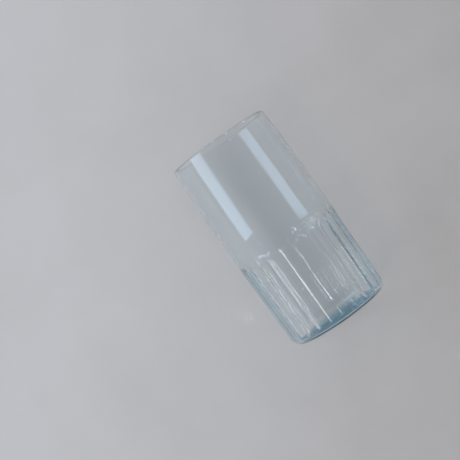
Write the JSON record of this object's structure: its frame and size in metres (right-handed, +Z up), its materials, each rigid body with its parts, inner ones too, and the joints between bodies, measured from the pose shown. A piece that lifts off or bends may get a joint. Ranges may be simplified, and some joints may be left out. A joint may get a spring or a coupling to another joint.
{
  "type": "chai glass",
  "caption": "Tall round drinking glass in pale blue glass, with a smooth rim half and an upright fluted lower half with arched tops.",
  "frame": {"origin": "centre of the foot, on the surface that the glass stands on", "axes": "+Z up the axis of the glass to the rim; +X through the middle of a flute"},
  "size_m": [0.0606, 0.0606, 0.1155],
  "materials": {
    "glass": "clear pale blue tint, polished"
  },
  "bodies": {
    "root": {"tumbler": "glass"}
  },
  "joints": []
}
